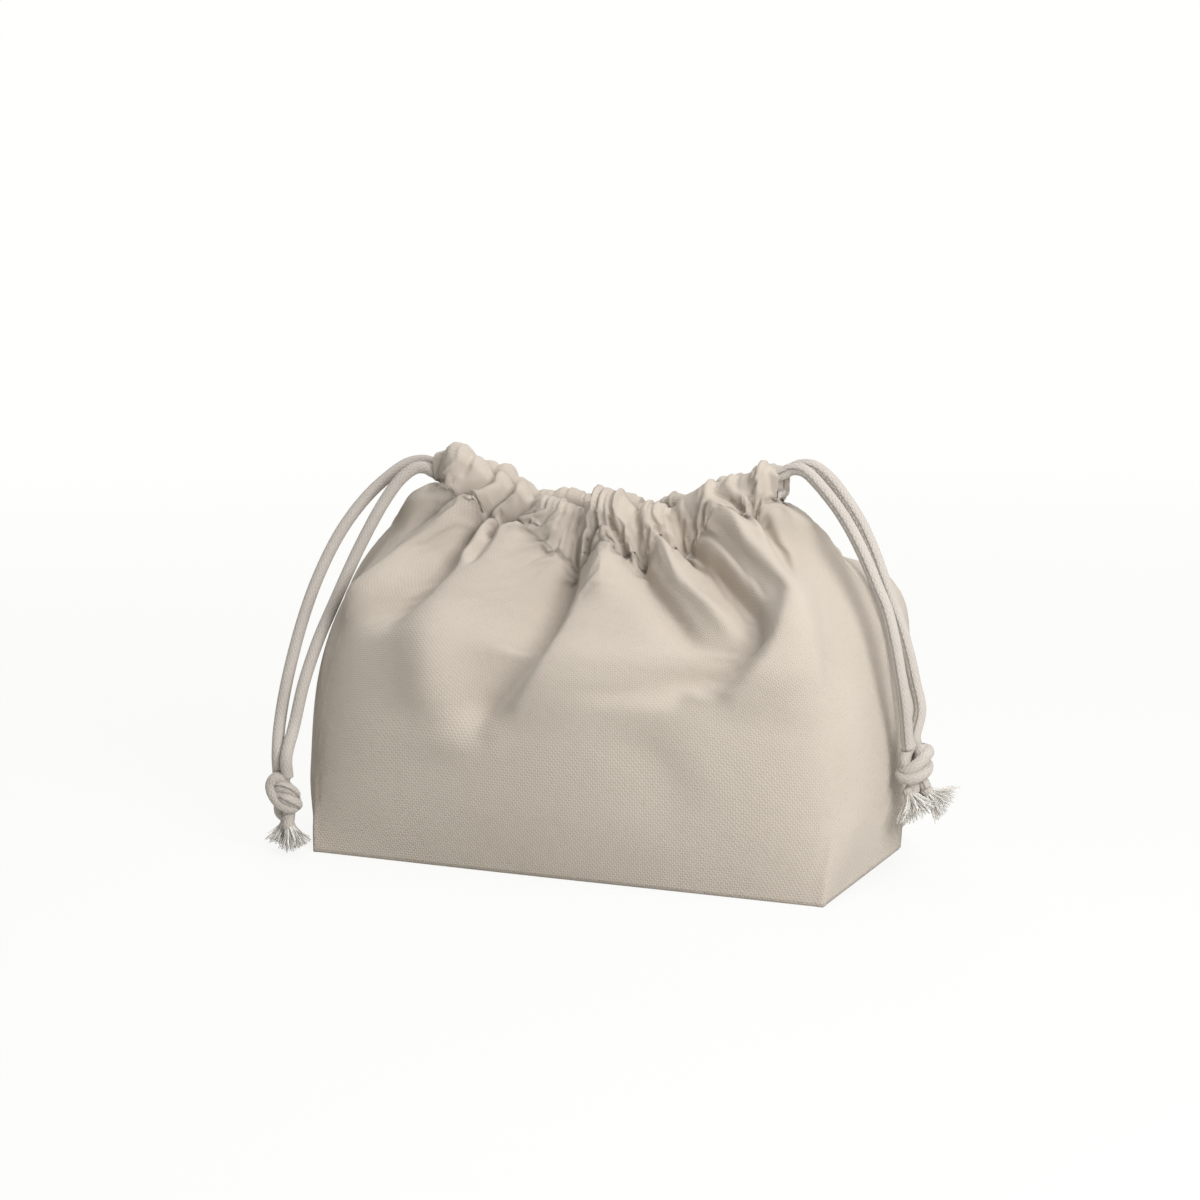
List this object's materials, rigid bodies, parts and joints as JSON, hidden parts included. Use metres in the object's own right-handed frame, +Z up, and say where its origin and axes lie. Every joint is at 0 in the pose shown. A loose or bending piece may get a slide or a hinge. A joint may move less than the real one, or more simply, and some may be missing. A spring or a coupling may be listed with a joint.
{
  "type": "drawstring bag",
  "caption": "Free-standing drawstring bag of natural cotton canvas on a flat rectangular base, its gathered casing half drawn shut by opposed cords that are knotted and frayed at their ends.",
  "frame": {"origin": "middle of the base, on the surface that the bag stands on", "axes": "+Z up from the base to the mouth, X along the wide face and the mouth, -Y towards the front; left is -X and right is +X as seen from the front"},
  "size_m": [0.2755, 0.1264, 0.1618],
  "materials": {
    "canvas": "unbleached cotton canvas, plain weave, matt",
    "hem": "the same canvas folded double and gathered",
    "binding": "overlocked cotton seam allowance, matt",
    "thread": "cotton sewing thread",
    "cord": "soft knitted cotton cord, matt",
    "fray": "loose cotton fibres"
  },
  "bodies": {
    "root": {"front_panel": "canvas", "back_panel": "canvas", "base_panel": "canvas", "base_binding": "binding", "left_side_binding": "binding", "right_side_binding": "binding", "front_casing": "hem", "back_casing": "hem", "front_casing_stitching": "thread", "back_casing_stitching": "thread", "left_front_bartack": "thread", "right_front_bartack": "thread", "left_back_bartack": "thread", "right_back_bartack": "thread", "left_cord_run": "cord", "right_cord_run": "cord"},
    "left_cord": {"left_cord_front_lead": "cord", "left_cord_back_lead": "cord"},
    "left_cord_drop": {"left_cord_front_strand": "cord", "left_cord_back_strand": "cord", "left_cord_knot": "cord", "left_cord_front_tail": "cord", "left_cord_back_tail": "cord", "left_cord_front_fray": "fray", "left_cord_back_fray": "fray"},
    "right_cord": {"right_cord_front_lead": "cord", "right_cord_back_lead": "cord"},
    "right_cord_drop": {"right_cord_front_strand": "cord", "right_cord_back_strand": "cord", "right_cord_knot": "cord", "right_cord_front_tail": "cord", "right_cord_back_tail": "cord", "right_cord_front_fray": "fray", "right_cord_back_fray": "fray"}
  },
  "joints": [
    {"name": "left_cord_pull", "type": "slide", "parent": "root", "child": "left_cord", "axis": [-0.9119, 0, 0.4104], "range_m": [0, 0.02]},
    {"name": "left_cord_swing", "type": "hinge", "parent": "left_cord", "child": "left_cord_drop", "pos_m": [-0.07397, 0, 0.15393], "axis": [0, 1, 0], "range_deg": [0, 65]},
    {"name": "right_cord_pull", "type": "slide", "parent": "root", "child": "right_cord", "axis": [0.9119, 0, 0.4104], "range_m": [0, 0.02]},
    {"name": "right_cord_swing", "type": "hinge", "parent": "right_cord", "child": "right_cord_drop", "pos_m": [0.07397, 0, 0.16113], "axis": [0, -1, 0], "range_deg": [0, 65]}
  ]
}
